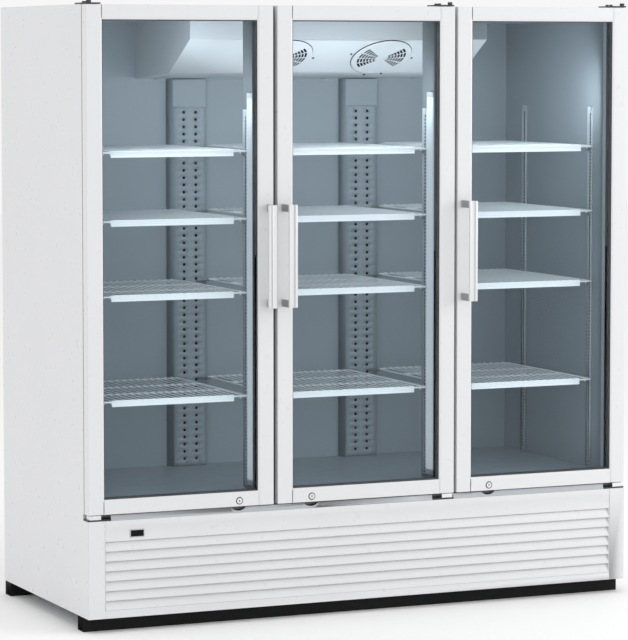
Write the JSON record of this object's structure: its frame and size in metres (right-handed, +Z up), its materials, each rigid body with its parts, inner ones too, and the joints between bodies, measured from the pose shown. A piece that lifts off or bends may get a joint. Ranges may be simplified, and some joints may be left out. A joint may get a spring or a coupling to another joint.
{
  "type": "reach in refrigerator",
  "caption": "Tall white reach-in refrigerator with hinged glass doors, wire shelves and a louvred base that hides the condensing unit.",
  "frame": {"origin": "on the floor, under the middle of the bounding box", "axes": "+Z up, the doors face -Y, +X to the right seen from the front"},
  "size_m": [1.981, 0.916, 2.047],
  "materials": {
    "white_paint": "satin",
    "door_glass": "gloss",
    "glazing_black": "satin",
    "gasket_rubber": "matte",
    "mount_grey": "satin",
    "lock_chrome": "polished",
    "galvanised_steel": "satin",
    "liner_white": "satin",
    "foam": "matte",
    "breaker_grey": "satin",
    "pilaster_white": "satin",
    "hardware_steel": "satin",
    "shelf_white": "gloss",
    "coil_aluminium": "satin",
    "fan_plastic": "satin",
    "motor_black": "satin",
    "skid_black": "satin",
    "display_black": "gloss",
    "pan_plastic": "matte",
    "copper_line": "satin",
    "gland_black": "satin"
  },
  "bodies": {
    "cabinet": {"side_panel_left": "white_paint", "side_panel_right": "white_paint", "top_panel": "white_paint", "lower_front_frame": "white_paint", "grille_panel": "white_paint", "back_and_deck_panels": "galvanised_steel", "base_tray": "galvanised_steel", "rear_cover": "galvanised_steel", "electrical_box": "galvanised_steel", "fan_shroud": "galvanised_steel", "inner_liner": "liner_white", "evaporator_housing": "liner_white", "fan_guards": "liner_white", "insulation": "foam", "face_frame": "breaker_grey", "pilasters": "pilaster_white", "led_lamps": "pilaster_white", "shelf_clips": "hardware_steel", "hinge_brackets": "hardware_steel", "lock_keepers": "hardware_steel", "shelves_left": "shelf_white", "shelves_middle": "shelf_white", "shelves_right": "shelf_white", "evaporator_coil": "coil_aluminium", "condenser_coil": "coil_aluminium", "evaporator_fan_motors": "motor_black", "condenser_fan_motor": "motor_black", "compressor": "motor_black", "skids": "skid_black", "thermometer": "display_black", "condensate_pan": "pan_plastic", "refrigerant_lines": "copper_line", "cord_gland": "gland_black"},
    "door_1": {"door_1_frame": "white_paint", "door_1_glass": "door_glass", "door_1_glazing": "glazing_black", "door_1_gasket": "gasket_rubber", "door_1_handle": "white_paint", "door_1_handle_mounts": "mount_grey", "door_1_lock_housing": "lock_chrome"},
    "lock_1": {"door_1_lock_plug": "lock_chrome"},
    "door_2": {"door_2_frame": "white_paint", "door_2_glass": "door_glass", "door_2_glazing": "glazing_black", "door_2_gasket": "gasket_rubber", "door_2_handle": "white_paint", "door_2_handle_mounts": "mount_grey", "door_2_lock_housing": "lock_chrome"},
    "lock_2": {"door_2_lock_plug": "lock_chrome"},
    "door_3": {"door_3_frame": "white_paint", "door_3_glass": "door_glass", "door_3_glazing": "glazing_black", "door_3_gasket": "gasket_rubber", "door_3_handle": "white_paint", "door_3_handle_mounts": "mount_grey", "door_3_lock_housing": "lock_chrome"},
    "lock_3": {"door_3_lock_plug": "lock_chrome"},
    "evaporator_fan_left": {"evaporator_fan_left": "fan_plastic"},
    "evaporator_fan_right": {"evaporator_fan_right": "fan_plastic"},
    "condenser_fan": {"condenser_fan": "fan_plastic"}
  },
  "joints": [
    {"name": "door_1_hinge", "type": "hinge", "parent": "cabinet", "child": "door_1", "pos_m": [-0.9755, -0.381, 1.21], "axis": [0, 0, -1], "range_deg": [0, 100], "stiffness_Nm_per_rad": 2},
    {"name": "lock_1_turn", "type": "hinge", "parent": "door_1", "child": "lock_1", "pos_m": [-0.4615, -0.383, 0.4065], "axis": [0, 1, 0], "range_deg": [0, 90]},
    {"name": "door_2_hinge", "type": "hinge", "parent": "cabinet", "child": "door_2", "pos_m": [0.3135, -0.381, 1.21], "axis": [0, 0, 1], "range_deg": [0, 100], "stiffness_Nm_per_rad": 2},
    {"name": "lock_2_turn", "type": "hinge", "parent": "door_2", "child": "lock_2", "pos_m": [-0.2005, -0.383, 0.4065], "axis": [0, -1, 0], "range_deg": [0, 90]},
    {"name": "door_3_hinge", "type": "hinge", "parent": "cabinet", "child": "door_3", "pos_m": [0.9755, -0.381, 1.21], "axis": [0, 0, 1], "range_deg": [0, 100], "stiffness_Nm_per_rad": 2},
    {"name": "lock_3_turn", "type": "hinge", "parent": "door_3", "child": "lock_3", "pos_m": [0.4615, -0.383, 0.4065], "axis": [0, -1, 0], "range_deg": [0, 90]},
    {"name": "evaporator_fan_left_spin", "type": "hinge", "parent": "cabinet", "child": "evaporator_fan_left", "pos_m": [-0.1425, 0.00609, 1.89186], "axis": [0, -0.5184, -0.8551], "continuous": true},
    {"name": "evaporator_fan_right_spin", "type": "hinge", "parent": "cabinet", "child": "evaporator_fan_right", "pos_m": [0.2325, 0.00609, 1.89186], "axis": [0, -0.5184, -0.8551], "continuous": true},
    {"name": "condenser_fan_spin", "type": "hinge", "parent": "cabinet", "child": "condenser_fan", "pos_m": [0.4795, -0.223, 0.205], "axis": [0, -1, 0], "continuous": true}
  ]
}
